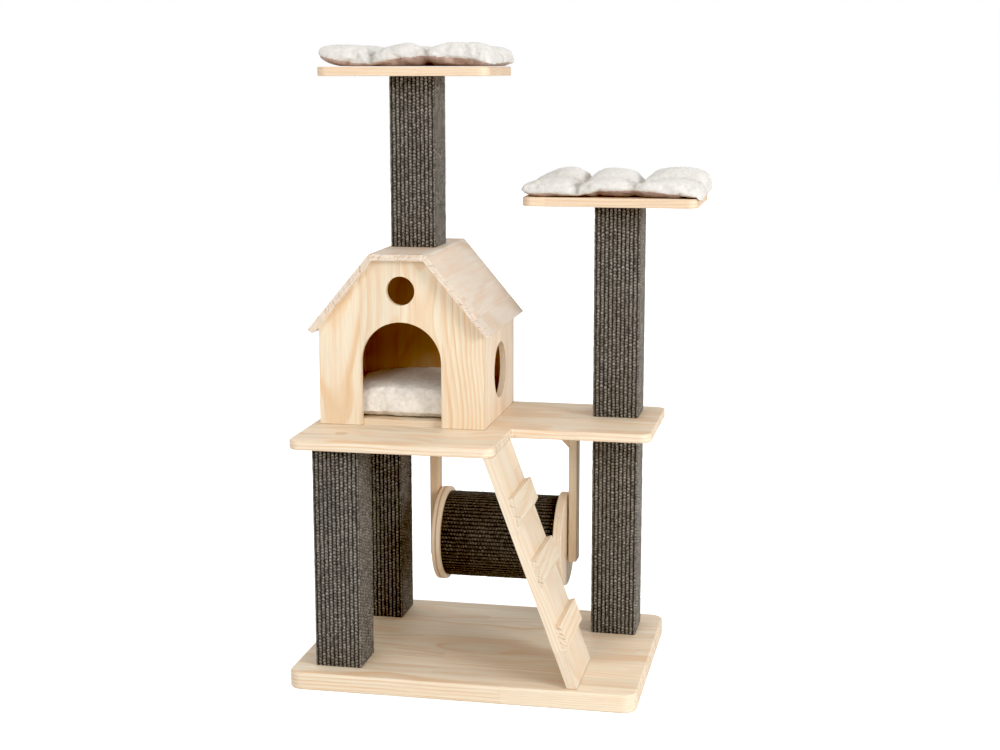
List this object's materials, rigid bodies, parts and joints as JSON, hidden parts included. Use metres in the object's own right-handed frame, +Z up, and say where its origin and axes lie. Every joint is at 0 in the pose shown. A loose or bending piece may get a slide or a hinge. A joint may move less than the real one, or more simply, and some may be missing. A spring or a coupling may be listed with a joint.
{
  "type": "cat tree",
  "caption": "Wooden cat tree: base, sisal posts, platform with an arched-door house, stepped ramp, spinning sisal drum, and two cushioned perches.",
  "frame": {"origin": "centre of the base board's underside, on the floor", "axes": "+Z up, +X to the right as seen from the house's door side, +Y towards the back"},
  "size_m": [0.7615, 0.516, 1.2336],
  "materials": {
    "pine": "clear lacquered solid pine",
    "plywood": "raw plywood",
    "beech": "raw beech dowel",
    "sisal": "ribbed dark grey-brown sisal mat",
    "dark_sisal": "ribbed brown-black sisal mat",
    "plush": "short cream plush",
    "cardboard": "raw wound board",
    "zinc_steel": "zinc plated",
    "nylon": "natural nylon"
  },
  "bodies": {
    "tree": {"sisal_sleeve_front_left": "sisal", "post_core_front_left": "plywood", "post_blocks_front_left": "plywood", "sisal_sleeve_back_left": "sisal", "post_core_back_left": "plywood", "post_blocks_back_left": "plywood", "sisal_sleeve_right": "sisal", "post_core_right": "plywood", "post_blocks_right": "plywood", "sisal_sleeve_side_upper": "sisal", "post_core_side_upper": "plywood", "post_blocks_side_upper": "plywood", "sisal_sleeve_top": "sisal", "post_core_top": "plywood", "post_blocks_top": "plywood", "ramp_step_1": "pine", "ramp_step_2": "pine", "ramp_step_3": "pine", "ramp_board": "pine", "ramp_step_screws": "zinc_steel", "ramp_foot_screws": "zinc_steel", "hanger_left": "pine", "hanger_right": "pine", "hanger_gusset_left": "pine", "hanger_gusset_right": "pine", "pivot_pins": "zinc_steel", "pivot_spacers": "nylon", "house_front": "pine", "house_back": "pine", "house_wall_left": "pine", "house_wall_right": "pine", "house_floor": "pine", "house_floor_screws": "zinc_steel", "thin_dowels": "beech", "roof_top": "pine", "roof_slope_left": "pine", "roof_slope_right": "pine", "roof_stiffener": "pine", "base_board": "pine", "middle_platform": "pine", "top_perch": "pine", "side_perch": "pine", "base_bolts": "zinc_steel", "board_bolts": "zinc_steel", "roof_post_bolt": "zinc_steel", "post_join_stud": "zinc_steel", "bolt_washers": "zinc_steel", "threaded_inserts": "zinc_steel", "cover_plugs": "pine", "post_dowels": "beech", "house_cushion": "plush"},
    "drum": {"drum_sisal": "dark_sisal", "drum_tube": "cardboard", "drum_flange_left": "pine", "drum_flange_right": "pine", "drum_end_discs": "plywood", "drum_bushes": "nylon", "drum_screws": "zinc_steel"},
    "top_cushion": {"top_cushion": "plush"},
    "side_cushion": {"side_cushion": "plush"}
  },
  "joints": [
    {"name": "drum_spin", "type": "hinge", "parent": "tree", "child": "drum", "pos_m": [0.0095, 0.16, 0.217], "axis": [1, 0, 0], "continuous": true},
    {"name": "top_cushion_lift", "type": "slide", "parent": "tree", "child": "top_cushion", "axis": [0, 0, 1], "range_m": [0, 0.15]},
    {"name": "side_cushion_lift", "type": "slide", "parent": "tree", "child": "side_cushion", "axis": [0, 0, 1], "range_m": [0, 0.15]}
  ]
}
